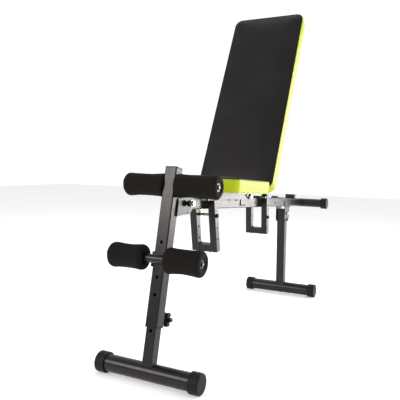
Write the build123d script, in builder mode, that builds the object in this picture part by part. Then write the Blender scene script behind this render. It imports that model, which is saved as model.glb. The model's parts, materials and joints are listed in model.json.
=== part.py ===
from build123d import *
import math
import os

# Adjustable weight bench, upright back. X is the width, Y runs to the rear, Z is up; millimetres.

# ---- driving dimensions ----
FOOT_Y = -720.4            # front foot tube centre
FOOT_Z = 29.5              # height of both foot tube centres
REAR_FOOT_Y = FOOT_Y + 1177.8
FOOT_HALF = 169.0          # half the width over the foot caps
FOOT_R = 25.0
CAP_R = 30.0
CAP_LEN = 31.0

BEAM = 38.0                # main beam, square
BEAM_Z = 504.5             # beam centre line above the front foot
BEAM_SLOPE = math.radians(3.02)
BEAM_START = 136.0
BEAM_END = 1446.0
WALL = 2.0

POST = 38.5                # front post, square
POST_LEAN = math.radians(12.29)
POST_BOTTOM = 128.0
POST_TOP = 584.0
POST_HOLES = (215.0, 265.0, 315.0, 365.0)
INNER = 32.0               # telescoping tube
INNER_TOP = 430.0

UPRIGHT = 37.5             # rear leg upright, square
UPRIGHT_LEAN = math.radians(1.7)
UPRIGHT_TOP = 379.5
REAR_PIVOT = 360.0         # pivot bolt above the rear foot, along the upright

HINGE_S = 614.5            # shared seat and back hinge, along the beam
HINGE_N = 26.0             # and above the beam centre line
RAIL = 24.0                # rails and drop frames, square-ish tube width
RAIL_H = 25.0
RAIL_IN = 22.5             # inner face of the rails and drop frame legs
RAIL_WALL = 1.6
PLATE = 3.0

SEAT_FRONT = 252.0
SEAT_REAR = 553.0
SEAT_W = 300.0
PAD_R = 18.0
BOARD_T = 12.0
SEAT_T = 46.0              # seat board and cushion together

BACK_LEAN = math.radians(25.2)
BACK_W = 298.0
BACK_START = 12.0
BACK_END = 792.0
BACK_FACE = 60.0           # front of the pad from the hinge
BACK_T = 52.0
BACK_R = 30.0
PROP_U = 300.0             # prop bolt along the back
PROP_W = -4.5

SEAT_LEG_TILT = math.radians(10.0)
PROP_TILT = math.radians(3.9)

ROLLER_TUBE_R = 12.5
UPPER_S = 533.0
UPPER_R = 35.0
UPPER_HALF = 155.0
LOWER_S = 315.5
LOWER_FORWARD = 36.05
LOWER_R = 37.0
LOWER_HALF = 150.0
LOWER_GAP = 36.0
RUN = 0.06                 # running clearance, radial

PIN_R = 4.0
BOLT_R = 5.0

os.makedirs("parts", exist_ok=True)


# ---- stations as (y, z) ----
def beam_at(s, n):
    """Point s along the beam and n above its centre line."""
    y = FOOT_Y + s * math.cos(BEAM_SLOPE) + n * math.sin(BEAM_SLOPE)
    z = BEAM_Z - s * math.sin(BEAM_SLOPE) + n * math.cos(BEAM_SLOPE)
    return (y, z)


def post_at(s, r):
    """Point s up the front post and r to its rear."""
    y = FOOT_Y + s * math.sin(POST_LEAN) + r * math.cos(POST_LEAN)
    z = FOOT_Z + s * math.cos(POST_LEAN) - r * math.sin(POST_LEAN)
    return (y, z)


def rear_at(t, r):
    """Point t up the rear upright and r to its rear."""
    y = REAR_FOOT_Y - t * math.sin(UPRIGHT_LEAN) + r * math.cos(UPRIGHT_LEAN)
    z = FOOT_Z + t * math.cos(UPRIGHT_LEAN) + r * math.sin(UPRIGHT_LEAN)
    return (y, z)


HINGE = beam_at(HINGE_S, HINGE_N)


def back_at(u, w):
    """Point u up the back from the hinge and w towards the sitter."""
    y = HINGE[0] + u * math.sin(BACK_LEAN) - w * math.cos(BACK_LEAN)
    z = HINGE[1] + u * math.cos(BACK_LEAN) + w * math.sin(BACK_LEAN)
    return (y, z)


def seat_leg_at(t, r):
    """Point t down the seat drop frame and r to its rear; t is zero at Z 400."""
    y = FOOT_Y + 337.2 + t * math.sin(SEAT_LEG_TILT) + r * math.cos(SEAT_LEG_TILT)
    z = 400.0 - t * math.cos(SEAT_LEG_TILT) + r * math.sin(SEAT_LEG_TILT)
    return (y, z)


def prop_at(t, r):
    """Point t down the prop and r to its rear; t is zero at Z 400."""
    y = FOOT_Y + 829.0 + t * math.sin(PROP_TILT) + r * math.cos(PROP_TILT)
    z = 400.0 - t * math.cos(PROP_TILT) + r * math.sin(PROP_TILT)
    return (y, z)


def beam_plane(s, n, x=0.0):
    """Cross-section plane of the beam, looking to the front, local y up."""
    y, z = beam_at(s, n)
    forward = (0, -math.cos(BEAM_SLOPE), math.sin(BEAM_SLOPE))
    return Plane(origin=(x, y, z), x_dir=(1, 0, 0), z_dir=forward)


def seat_plane(s, n):
    """Plane parallel to the beam top, local y to the rear."""
    y, z = beam_at(s, n)
    up = (0, math.sin(BEAM_SLOPE), math.cos(BEAM_SLOPE))
    return Plane(origin=(0, y, z), x_dir=(1, 0, 0), z_dir=up)


def post_plane(s, r=0.0):
    """Cross-section plane of the front post, local y to the rear."""
    y, z = post_at(s, r)
    up = (0, math.sin(POST_LEAN), math.cos(POST_LEAN))
    return Plane(origin=(0, y, z), x_dir=(1, 0, 0), z_dir=up)


def post_rear_plane(s, r):
    """Plane parallel to the rear face of the front post, normal to the rear."""
    y, z = post_at(s, r)
    rear = (0, math.cos(POST_LEAN), -math.sin(POST_LEAN))
    return Plane(origin=(0, y, z), x_dir=(1, 0, 0), z_dir=rear)


def upright_plane(t):
    """Cross-section plane of the rear upright."""
    y, z = rear_at(t, 0)
    up = (0, -math.sin(UPRIGHT_LEAN), math.cos(UPRIGHT_LEAN))
    return Plane(origin=(0, y, z), x_dir=(1, 0, 0), z_dir=up)


def back_cross_plane(u, w, x=0.0):
    """Cross-section plane of the back, local y towards the sitter."""
    y, z = back_at(u, w)
    up = (0, math.sin(BACK_LEAN), math.cos(BACK_LEAN))
    return Plane(origin=(x, y, z), x_dir=(-1, 0, 0), z_dir=up)


def back_face_plane(u, w):
    """Plane parallel to the pad, normal towards the sitter, local y up the back."""
    y, z = back_at(u, w)
    front = (0, -math.cos(BACK_LEAN), math.sin(BACK_LEAN))
    return Plane(origin=(0, y, z), x_dir=(1, 0, 0), z_dir=front)


def side_plane(x):
    """Plane across the width at x, local x to the rear and local y up."""
    return Plane.YZ.offset(x)


FOLD = beam_at(195.3, 0)
REAR_BOLT = rear_at(REAR_PIVOT, 0)
REAR_STUD = rear_at(REAR_PIVOT - 30, 4)
PROP_BOLT = back_at(PROP_U, PROP_W)
HANDLE = beam_at(1446.0, -2.0)
HANDLE_R = 21.0
HANDLE_HALF = 149.3
SEAT_PIN = seat_leg_at(-46.7, 0)
PROP_PIN = prop_at(-1.0, 0)
KEEPER = (FOOT_Y + 347.5, 447.0)
PROP_STOP = beam_at(804.8, BEAM / 2 + 4.5)
RAIL_X = RAIL_IN + RAIL / 2

# ---- fixed frame ----
with BuildPart() as main_beam:
    with BuildSketch(beam_plane(BEAM_END - 10, 0)):
        RectangleRounded(BEAM, BEAM, 3.2)
        RectangleRounded(BEAM - 2 * WALL, BEAM - 2 * WALL, 1.4, mode=Mode.SUBTRACT)
    extrude(amount=BEAM_END - 10 - BEAM_START)
    with BuildSketch(side_plane(-BEAM)):
        with Locations(beam_at(750, -2), beam_at(1005, -2)):
            Circle(4.2)
        with Locations(FOLD):
            Circle(BOLT_R)
    extrude(amount=2 * BEAM, mode=Mode.SUBTRACT)
    with BuildSketch(side_plane(-BEAM)):
        with Locations(HANDLE):
            Circle(HANDLE_R)
    extrude(amount=2 * BEAM, mode=Mode.SUBTRACT)
main_beam.part.label = "main_beam"
export_step(main_beam.part, "parts/main_beam.step")

with BuildPart() as handle_bar:
    with BuildSketch(side_plane(-(HANDLE_HALF - 3))):
        with Locations(HANDLE):
            Circle(HANDLE_R)
            Circle(HANDLE_R - WALL, mode=Mode.SUBTRACT)
    extrude(amount=2 * (HANDLE_HALF - 3))
handle_bar.part.label = "handle_bar"
export_step(handle_bar.part, "parts/handle_bar.step")

with BuildPart() as handle_caps:
    with BuildSketch(side_plane(HANDLE_HALF - 30)):
        with Locations(HANDLE):
            Circle(27)
    extrude(amount=30)
    fillet(handle_caps.edges().group_by(Axis.X)[-1], radius=4)
    with BuildSketch(side_plane(HANDLE_HALF - 30)):
        with Locations(HANDLE):
            Circle(HANDLE_R)
    extrude(amount=27, mode=Mode.SUBTRACT)
    mirror(about=Plane.YZ)
handle_caps.part.label = "handle_caps"
export_step(handle_caps.part, "parts/handle_caps.step")

with BuildPart() as rear_clevis:
    with BuildSketch(side_plane(BEAM / 2)) as clevis_outline:
        with BuildLine():
            Polyline(beam_at(1141, 8), beam_at(1216, 8), rear_at(332, 34), rear_at(322, 14),
                     rear_at(322, -18), rear_at(336, -30), close=True)
        make_face()
        fillet(clevis_outline.vertices(), radius=7)
        with Locations(REAR_BOLT):
            Circle(PIN_R, mode=Mode.SUBTRACT)
        with Locations(REAR_STUD):
            Circle(3, mode=Mode.SUBTRACT)
    extrude(amount=PLATE)
    mirror(about=Plane.YZ)
rear_clevis.part.label = "rear_clevis"
export_step(rear_clevis.part, "parts/rear_clevis.step")

with BuildPart() as rear_pivot_bolt:
    with BuildSketch(side_plane(-30)):
        with Locations(REAR_BOLT):
            Circle(PIN_R)
    extrude(amount=60)
    with BuildSketch(side_plane(BEAM / 2 + PLATE)):
        with Locations(REAR_BOLT):
            RegularPolygon(radius=7.5, side_count=6)
    extrude(amount=6)
    with BuildSketch(side_plane(-BEAM / 2 - PLATE)):
        with Locations(REAR_BOLT):
            RegularPolygon(radius=7.5, side_count=6)
    extrude(amount=-7)
rear_pivot_bolt.part.label = "rear_pivot_bolt"
export_step(rear_pivot_bolt.part, "parts/rear_pivot_bolt.step")

with BuildPart() as rear_lock_studs:
    with BuildSketch(side_plane(BEAM / 2 - 0.1)):
        with Locations(REAR_STUD):
            Circle(3)
    extrude(amount=PLATE + 1)
    with BuildSketch(side_plane(BEAM / 2 + PLATE)):
        with Locations(REAR_STUD):
            Circle(5.5)
    extrude(amount=5)
    mirror(about=Plane.YZ)
rear_lock_studs.part.label = "rear_lock_studs"
export_step(rear_lock_studs.part, "parts/rear_lock_studs.step")

with BuildPart() as rest_stop:
    stop_y, stop_z = beam_at(1291, BEAM / 2 + 10)
    with BuildSketch(Plane(origin=(-23, stop_y, stop_z), x_dir=(0, 1, 0), z_dir=(1, 0, 0))):
        RectangleRounded(20, 20, 2.5, rotation=-math.degrees(BEAM_SLOPE))
    extrude(amount=46)
rest_stop.part.label = "rest_stop"
export_step(rest_stop.part, "parts/rest_stop.step")

with BuildPart() as hinge_ears:
    with BuildSketch(side_plane(BEAM / 2)) as ear_outline:
        with BuildLine():
            Polyline(beam_at(592, -9), beam_at(637, -9), beam_at(627, 34), beam_at(602, 34),
                     close=True)
        make_face()
        fillet(ear_outline.vertices(), radius=5)
        with Locations(HINGE):
            Circle(BOLT_R, mode=Mode.SUBTRACT)
    extrude(amount=PLATE)
    mirror(about=Plane.YZ)
hinge_ears.part.label = "hinge_ears"
export_step(hinge_ears.part, "parts/hinge_ears.step")

with BuildPart() as hinge_bolt:
    with BuildSketch(side_plane(-56)):
        with Locations(HINGE):
            Circle(BOLT_R)
    extrude(amount=112)
    with BuildSketch(side_plane(50.5)):
        with Locations(HINGE):
            RegularPolygon(radius=9.2, side_count=6)
    extrude(amount=6.5)
    with BuildSketch(side_plane(-50.5)):
        with Locations(HINGE):
            RegularPolygon(radius=9.2, side_count=6)
    extrude(amount=-7)
hinge_bolt.part.label = "hinge_bolt"
export_step(hinge_bolt.part, "parts/hinge_bolt.step")

with BuildPart() as seat_keeper_rod:
    with BuildSketch(side_plane(BEAM / 2)):
        with BuildLine():
            Polyline((KEEPER[0] - 7, KEEPER[1]), (KEEPER[0] - 7, beam_at(348, -8)[1]),
                     (KEEPER[0] + 7, beam_at(348, -8)[1]), (KEEPER[0] + 7, KEEPER[1]), close=True)
        make_face()
        with Locations(KEEPER):
            Circle(7)
    extrude(amount=2.2)
    mirror(about=Plane.YZ)
    with BuildSketch(side_plane(-48)):
        with Locations(KEEPER):
            Circle(4.5)
    extrude(amount=96)
seat_keeper_rod.part.label = "seat_keeper_rod"
export_step(seat_keeper_rod.part, "parts/seat_keeper_rod.step")

with BuildPart() as prop_stop_rod:
    with BuildSketch(side_plane(-44)):
        with Locations(PROP_STOP):
            Circle(4.5)
    extrude(amount=88)
prop_stop_rod.part.label = "prop_stop_rod"
export_step(prop_stop_rod.part, "parts/prop_stop_rod.step")

with BuildPart() as fold_bolt:
    with BuildSketch(side_plane(-30)):
        with Locations(FOLD):
            Circle(BOLT_R)
    extrude(amount=60)
    with BuildSketch(side_plane(22.8)):
        with Locations(FOLD):
            Circle(10)
    extrude(amount=1.6)
    with BuildSketch(side_plane(24.4)):
        with Locations(FOLD):
            RegularPolygon(radius=9.2, side_count=6)
    extrude(amount=8)
    with BuildSketch(side_plane(-22.8)):
        with Locations(FOLD):
            RegularPolygon(radius=9.2, side_count=6)
    extrude(amount=-6.5)
fold_bolt.part.label = "fold_bolt"
export_step(fold_bolt.part, "parts/fold_bolt.step")

# ---- front post ----
with BuildPart() as front_post:
    with BuildSketch(post_plane(POST_BOTTOM)):
        RectangleRounded(POST, POST, 3.2)
        RectangleRounded(POST - 2 * WALL, POST - 2 * WALL, 1.4, mode=Mode.SUBTRACT)
    extrude(amount=POST_TOP - POST_BOTTOM)
    with BuildSketch(side_plane(-POST)):
        with Locations(post_at(UPPER_S, 0)):
            Circle(ROLLER_TUBE_R)
    extrude(amount=2 * POST, mode=Mode.SUBTRACT)
    with BuildSketch(post_rear_plane(0, -POST)):
        with Locations(*[(0, -s) for s in POST_HOLES]):
            Circle(4.8)
    extrude(amount=POST, mode=Mode.SUBTRACT)
    with BuildSketch(post_rear_plane(143, POST / 2 - 0.5)):
        Circle(9)
    extrude(amount=12.5)
    with BuildSketch(post_rear_plane(143, 0)):
        Circle(PIN_R + RUN)
    extrude(amount=POST, mode=Mode.SUBTRACT)
front_post.part.label = "front_post"
export_step(front_post.part, "parts/front_post.step")

with BuildPart() as post_top_cap:
    with BuildSketch(post_plane(POST_TOP)):
        RectangleRounded(POST - 0.5, POST - 0.5, 3)
    extrude(amount=3)
    fillet(post_top_cap.edges().sort_by(Axis.Z)[-8:], radius=1)
    with BuildSketch(post_plane(POST_TOP - 14)):
        RectangleRounded(POST - 2 * WALL - 0.2, POST - 2 * WALL - 0.2, 1.3)
    extrude(amount=14)
post_top_cap.part.label = "post_top_cap"
export_step(post_top_cap.part, "parts/post_top_cap.step")

with BuildPart() as post_bushing:
    with BuildSketch(post_plane(POST_BOTTOM - 4)):
        RectangleRounded(POST + 1.5, POST + 1.5, 4)
        RectangleRounded(INNER + 0.2, INNER + 0.2, 2.6, mode=Mode.SUBTRACT)
    extrude(amount=4)
    with BuildSketch(post_plane(POST_BOTTOM)):
        RectangleRounded(POST - 2 * WALL - 0.1, POST - 2 * WALL - 0.1, 1.3)
        RectangleRounded(INNER + 0.2, INNER + 0.2, 2.6, mode=Mode.SUBTRACT)
    extrude(amount=9)
post_bushing.part.label = "post_bushing"
export_step(post_bushing.part, "parts/post_bushing.step")

with BuildPart() as post_brackets:
    with BuildSketch(side_plane(POST / 2)) as bracket_outline:
        with BuildLine():
            Polyline((FOOT_Y + 104, 462), (FOOT_Y + 186, 462), (FOOT_Y + 207, 480),
                     (FOOT_Y + 254, 482), (FOOT_Y + 254, 505), (FOOT_Y + 222, 506),
                     (FOOT_Y + 205, 513.5), (FOOT_Y + 115, 513.5), close=True)
        make_face()
        fillet(bracket_outline.vertices(), radius=4)
        with Locations(FOLD):
            Circle(BOLT_R + RUN, mode=Mode.SUBTRACT)
        with Locations(beam_at(174, -28)):
            Circle(3.2, mode=Mode.SUBTRACT)
    extrude(amount=PLATE)
    mirror(about=Plane.YZ)
post_brackets.part.label = "post_brackets"
export_step(post_brackets.part, "parts/post_brackets.step")

with BuildPart() as fold_lock_knob:
    with BuildSketch(side_plane(POST / 2 + PLATE)):
        with Locations(beam_at(166, 0)):
            Circle(5)
    extrude(amount=5)
    with BuildSketch(side_plane(POST / 2 + PLATE + 5)):
        with Locations(beam_at(166, 0)):
            Circle(9.5)
    extrude(amount=9)
    fillet(fold_lock_knob.edges().group_by(Axis.X)[-1], radius=2.5)
fold_lock_knob.part.label = "fold_lock_knob"
export_step(fold_lock_knob.part, "parts/fold_lock_knob.step")

with BuildPart() as upper_roller_tube:
    with BuildSketch(side_plane(-(UPPER_HALF - 4))):
        with Locations(post_at(UPPER_S, 0)):
            Circle(ROLLER_TUBE_R)
            Circle(ROLLER_TUBE_R - WALL, mode=Mode.SUBTRACT)
    extrude(amount=2 * (UPPER_HALF - 4))
upper_roller_tube.part.label = "upper_roller_tube"
export_step(upper_roller_tube.part, "parts/upper_roller_tube.step")

with BuildPart() as upper_end_bolts:
    with BuildSketch(side_plane(UPPER_HALF - 16)):
        with Locations(post_at(UPPER_S, 0)):
            Circle(ROLLER_TUBE_R - WALL)
    extrude(amount=12)
    with BuildSketch(side_plane(UPPER_HALF - 4)):
        with Locations(post_at(UPPER_S, 0)):
            Circle(7)
    extrude(amount=3.5)
    fillet(upper_end_bolts.edges().group_by(Axis.X)[-1], radius=2)
    mirror(about=Plane.YZ)
upper_end_bolts.part.label = "upper_end_bolts"
export_step(upper_end_bolts.part, "parts/upper_end_bolts.step")

with BuildPart() as upper_foam_right:
    with BuildSketch(side_plane(POST / 2 + 0.6)):
        with Locations(post_at(UPPER_S, 0)):
            Circle(UPPER_R)
    extrude(amount=UPPER_HALF - POST / 2 - 0.6)
    fillet(upper_foam_right.edges().group_by(Axis.X)[-1], radius=8)
    fillet(upper_foam_right.edges().group_by(Axis.X)[0], radius=3)
    with BuildSketch(side_plane(0)):
        with Locations(post_at(UPPER_S, 0)):
            Circle(ROLLER_TUBE_R + RUN)
    extrude(amount=UPPER_HALF + 1, mode=Mode.SUBTRACT)
upper_foam_right.part.label = "upper_foam_right"
export_step(upper_foam_right.part, "parts/upper_foam_right.step")

with BuildPart() as upper_foam_left:
    mirror(upper_foam_right.part, about=Plane.YZ)
upper_foam_left.part.label = "upper_foam_left"
export_step(upper_foam_left.part, "parts/upper_foam_left.step")

# ---- lower roller on its sliding saddle ----
with BuildPart() as roller_saddle:
    with BuildSketch(post_plane(LOWER_S - 23)):
        with Locations((0, -POST / 2 - 0.3 - 2)):
            Rectangle(2 * (POST / 2 + 0.3 + PLATE), 4)
        with Locations((POST / 2 + 0.3 + PLATE / 2, -9), (-POST / 2 - 0.3 - PLATE / 2, -9)):
            Rectangle(PLATE, 29)
    extrude(amount=44)
roller_saddle.part.label = "roller_saddle"
export_step(roller_saddle.part, "parts/roller_saddle.step")

with BuildPart() as lower_roller_tube:
    with BuildSketch(side_plane(-(LOWER_HALF - 4))):
        with Locations(post_at(LOWER_S, -LOWER_FORWARD)):
            Circle(ROLLER_TUBE_R)
            Circle(ROLLER_TUBE_R - WALL, mode=Mode.SUBTRACT)
    extrude(amount=2 * (LOWER_HALF - 4))
lower_roller_tube.part.label = "lower_roller_tube"
export_step(lower_roller_tube.part, "parts/lower_roller_tube.step")

with BuildPart() as lower_end_bolts:
    with BuildSketch(side_plane(LOWER_HALF - 16)):
        with Locations(post_at(LOWER_S, -LOWER_FORWARD)):
            Circle(ROLLER_TUBE_R - WALL)
    extrude(amount=12)
    with BuildSketch(side_plane(LOWER_HALF - 4)):
        with Locations(post_at(LOWER_S, -LOWER_FORWARD)):
            Circle(7)
    extrude(amount=3.5)
    fillet(lower_end_bolts.edges().group_by(Axis.X)[-1], radius=2)
    mirror(about=Plane.YZ)
lower_end_bolts.part.label = "lower_end_bolts"
export_step(lower_end_bolts.part, "parts/lower_end_bolts.step")

with BuildPart() as lower_foam_right:
    with BuildSketch(side_plane(LOWER_GAP)):
        with Locations(post_at(LOWER_S, -LOWER_FORWARD)):
            Circle(LOWER_R)
    extrude(amount=LOWER_HALF - LOWER_GAP)
    fillet(lower_foam_right.edges().group_by(Axis.X)[-1], radius=8)
    fillet(lower_foam_right.edges().group_by(Axis.X)[0], radius=8)
    with BuildSketch(side_plane(0)):
        with Locations(post_at(LOWER_S, -LOWER_FORWARD)):
            Circle(ROLLER_TUBE_R + RUN)
    extrude(amount=LOWER_HALF + 1, mode=Mode.SUBTRACT)
lower_foam_right.part.label = "lower_foam_right"
export_step(lower_foam_right.part, "parts/lower_foam_right.step")

with BuildPart() as lower_foam_left:
    mirror(lower_foam_right.part, about=Plane.YZ)
lower_foam_left.part.label = "lower_foam_left"
export_step(lower_foam_left.part, "parts/lower_foam_left.step")

# ---- telescoping front leg ----
with BuildPart() as inner_leg_tube:
    with BuildSketch(post_plane(15)):
        RectangleRounded(INNER, INNER, 2.5)
        RectangleRounded(INNER - 2 * WALL, INNER - 2 * WALL, 1, mode=Mode.SUBTRACT)
    extrude(amount=INNER_TOP - 15)
    with BuildSketch(post_rear_plane(0, -INNER)):
        with Locations(*[(0, -s) for s in (115.0, 165.0, 215.0, 265.0, 315.0, 365.0)]):
            Circle(4.8)
    extrude(amount=INNER, mode=Mode.SUBTRACT)
    with BuildSketch(side_plane(-INNER)):
        with Locations((FOOT_Y, FOOT_Z)):
            Circle(FOOT_R)
    extrude(amount=2 * INNER, mode=Mode.SUBTRACT)
inner_leg_tube.part.label = "inner_leg_tube"
export_step(inner_leg_tube.part, "parts/inner_leg_tube.step")

with BuildPart() as front_foot_tube:
    with BuildSketch(side_plane(-(FOOT_HALF - 4))):
        with Locations((FOOT_Y, FOOT_Z)):
            Circle(FOOT_R)
            Circle(FOOT_R - WALL, mode=Mode.SUBTRACT)
    extrude(amount=2 * (FOOT_HALF - 4))
front_foot_tube.part.label = "front_foot_tube"
export_step(front_foot_tube.part, "parts/front_foot_tube.step")

with BuildPart() as front_foot_cap_right:
    with BuildSketch(side_plane(FOOT_HALF - CAP_LEN)):
        with Locations((FOOT_Y, FOOT_Z)):
            Circle(CAP_R)
    extrude(amount=CAP_LEN)
    fillet(front_foot_cap_right.edges().group_by(Axis.X)[-1], radius=4)
    with BuildSketch(side_plane(FOOT_HALF - CAP_LEN)):
        with Locations((FOOT_Y, FOOT_Z)):
            Circle(FOOT_R)
        with Locations((FOOT_Y, -5)):
            Rectangle(40, 10)
    extrude(amount=CAP_LEN - 4, mode=Mode.SUBTRACT)
    with BuildSketch(side_plane(FOOT_HALF - 5)):
        with Locations((FOOT_Y, -5)):
            Rectangle(40, 10)
    extrude(amount=6, mode=Mode.SUBTRACT)
front_foot_cap_right.part.label = "front_foot_cap_right"
export_step(front_foot_cap_right.part, "parts/front_foot_cap_right.step")

with BuildPart() as front_foot_cap_left:
    mirror(front_foot_cap_right.part, about=Plane.YZ)
front_foot_cap_left.part.label = "front_foot_cap_left"
export_step(front_foot_cap_left.part, "parts/front_foot_cap_left.step")

# ---- clamp knob of the telescoping leg ----
with BuildPart() as clamp_screw:
    with BuildSketch(post_rear_plane(143, INNER / 2 + 0.3)):
        Circle(PIN_R)
    extrude(amount=31.9)
    with BuildSketch(post_rear_plane(143, POST / 2 + 13)):
        Circle(9)
    extrude(amount=16)
clamp_screw.part.label = "clamp_screw"
export_step(clamp_screw.part, "parts/clamp_screw.step")

with BuildPart() as star_knob:
    with BuildSketch(post_rear_plane(143, POST / 2 + 29)):
        Circle(15)
        with PolarLocations(16, 6):
            Circle(6.5)
    extrude(amount=17)
    fillet(star_knob.faces().sort_by(Axis.Y)[-1].edges(), radius=2)
star_knob.part.label = "star_knob"
export_step(star_knob.part, "parts/star_knob.step")

# ---- rear leg ----
with BuildPart() as rear_upright:
    with BuildSketch(upright_plane(15)):
        RectangleRounded(UPRIGHT, UPRIGHT, 3.2)
        RectangleRounded(UPRIGHT - 2 * WALL, UPRIGHT - 2 * WALL, 1.4, mode=Mode.SUBTRACT)
    extrude(amount=UPRIGHT_TOP - 15)
    with BuildSketch(side_plane(-UPRIGHT)):
        with Locations((REAR_FOOT_Y, FOOT_Z)):
            Circle(FOOT_R)
        with Locations(REAR_BOLT):
            Circle(PIN_R + RUN)
    extrude(amount=2 * UPRIGHT, mode=Mode.SUBTRACT)
rear_upright.part.label = "rear_upright"
export_step(rear_upright.part, "parts/rear_upright.step")

with BuildPart() as rear_foot_tube:
    with BuildSketch(side_plane(-(FOOT_HALF - 4))):
        with Locations((REAR_FOOT_Y, FOOT_Z)):
            Circle(FOOT_R)
            Circle(FOOT_R - WALL, mode=Mode.SUBTRACT)
    extrude(amount=2 * (FOOT_HALF - 4))
rear_foot_tube.part.label = "rear_foot_tube"
export_step(rear_foot_tube.part, "parts/rear_foot_tube.step")

with BuildPart() as rear_foot_cap_right:
    with BuildSketch(side_plane(FOOT_HALF - CAP_LEN)):
        with Locations((REAR_FOOT_Y, FOOT_Z)):
            Circle(CAP_R)
    extrude(amount=CAP_LEN)
    fillet(rear_foot_cap_right.edges().group_by(Axis.X)[-1], radius=4)
    with BuildSketch(side_plane(FOOT_HALF - CAP_LEN)):
        with Locations((REAR_FOOT_Y, FOOT_Z)):
            Circle(FOOT_R)
        with Locations((REAR_FOOT_Y, -5)):
            Rectangle(40, 10)
    extrude(amount=CAP_LEN - 4, mode=Mode.SUBTRACT)
    with BuildSketch(side_plane(FOOT_HALF - 5)):
        with Locations((REAR_FOOT_Y, -5)):
            Rectangle(40, 10)
    extrude(amount=6, mode=Mode.SUBTRACT)
rear_foot_cap_right.part.label = "rear_foot_cap_right"
export_step(rear_foot_cap_right.part, "parts/rear_foot_cap_right.step")

with BuildPart() as rear_foot_cap_left:
    mirror(rear_foot_cap_right.part, about=Plane.YZ)
rear_foot_cap_left.part.label = "rear_foot_cap_left"
export_step(rear_foot_cap_left.part, "parts/rear_foot_cap_left.step")

# ---- seat ----
with BuildPart() as seat_board:
    with BuildSketch(seat_plane((SEAT_FRONT + SEAT_REAR) / 2, HINGE_N + RAIL_H / 2)):
        RectangleRounded(SEAT_W - 6, SEAT_REAR - SEAT_FRONT - 6, PAD_R - 3)
    extrude(amount=BOARD_T)
    with BuildSketch(seat_plane(0, HINGE_N + RAIL_H / 2)):
        with Locations(*[(x, s) for x in (-RAIL_X, RAIL_X) for s in (284.0, 520.0)]):
            Circle(3.5)
    extrude(amount=9, mode=Mode.SUBTRACT)
seat_board.part.label = "seat_board"
export_step(seat_board.part, "parts/seat_board.step")

with BuildPart() as seat_cushion:
    with BuildSketch(seat_plane((SEAT_FRONT + SEAT_REAR) / 2, HINGE_N + RAIL_H / 2 + BOARD_T + 0.1)):
        RectangleRounded(SEAT_W, SEAT_REAR - SEAT_FRONT, PAD_R)
    extrude(amount=SEAT_T - BOARD_T - 0.1)
    fillet(seat_cushion.faces().sort_by(Axis.Z)[-1].edges(), radius=7)
seat_cushion.part.label = "seat_cushion"
export_step(seat_cushion.part, "parts/seat_cushion.step")

with BuildPart() as seat_rail_right:
    with BuildSketch(side_plane(RAIL_IN)):
        with BuildLine():
            Polyline(beam_at(262, HINGE_N - 12.5), beam_at(HINGE_S, HINGE_N - 12.5),
                     beam_at(HINGE_S, HINGE_N + 12.5), beam_at(262, HINGE_N + 12.5), close=True)
        make_face()
        with Locations(HINGE):
            Circle(12.5)
    extrude(amount=RAIL)
    with BuildSketch(side_plane(RAIL_IN + RAIL_WALL)):
        with BuildLine():
            Polyline(beam_at(261, HINGE_N - 10.9), beam_at(HINGE_S - 14, HINGE_N - 10.9),
                     beam_at(HINGE_S - 14, HINGE_N + 10.9), beam_at(261, HINGE_N + 10.9),
                     close=True)
        make_face()
    extrude(amount=RAIL - 2 * RAIL_WALL, mode=Mode.SUBTRACT)
    with BuildSketch(side_plane(0)):
        with Locations(HINGE):
            Circle(BOLT_R + RUN)
    extrude(amount=60, mode=Mode.SUBTRACT)
    with BuildSketch(seat_plane(0, 0)):
        with Locations((RAIL_X, 284.0), (RAIL_X, 520.0)):
            Circle(3.5)
    extrude(amount=60, mode=Mode.SUBTRACT)
seat_rail_right.part.label = "seat_rail_right"
export_step(seat_rail_right.part, "parts/seat_rail_right.step")

with BuildPart() as seat_rail_left:
    mirror(seat_rail_right.part, about=Plane.YZ)
seat_rail_left.part.label = "seat_rail_left"
export_step(seat_rail_left.part, "parts/seat_rail_left.step")

with BuildPart() as seat_rail_plugs:
    with BuildSketch(beam_plane(262, HINGE_N, RAIL_X)):
        RectangleRounded(RAIL - 0.6, RAIL_H - 0.6, 2)
    extrude(amount=2)
    with BuildSketch(beam_plane(272, HINGE_N, RAIL_X)):
        RectangleRounded(RAIL - 2 * RAIL_WALL - 0.2, RAIL_H - 2 * RAIL_WALL - 0.2, 1)
    extrude(amount=10)
    mirror(about=Plane.YZ)
seat_rail_plugs.part.label = "seat_rail_plugs"
export_step(seat_rail_plugs.part, "parts/seat_rail_plugs.step")

with BuildPart() as seat_screws:
    with BuildSketch(seat_plane(0, HINGE_N - RAIL_H / 2)):
        with Locations(*[(x, s) for x in (-RAIL_X, RAIL_X) for s in (284.0, 520.0)]):
            Circle(3.4)
    extrude(amount=RAIL_H + 8)
    with BuildSketch(seat_plane(0, HINGE_N - RAIL_H / 2)):
        with Locations(*[(x, s) for x in (-RAIL_X, RAIL_X) for s in (284.0, 520.0)]):
            RegularPolygon(radius=7, side_count=6)
    extrude(amount=-5)
seat_screws.part.label = "seat_screws"
export_step(seat_screws.part, "parts/seat_screws.step")

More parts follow.
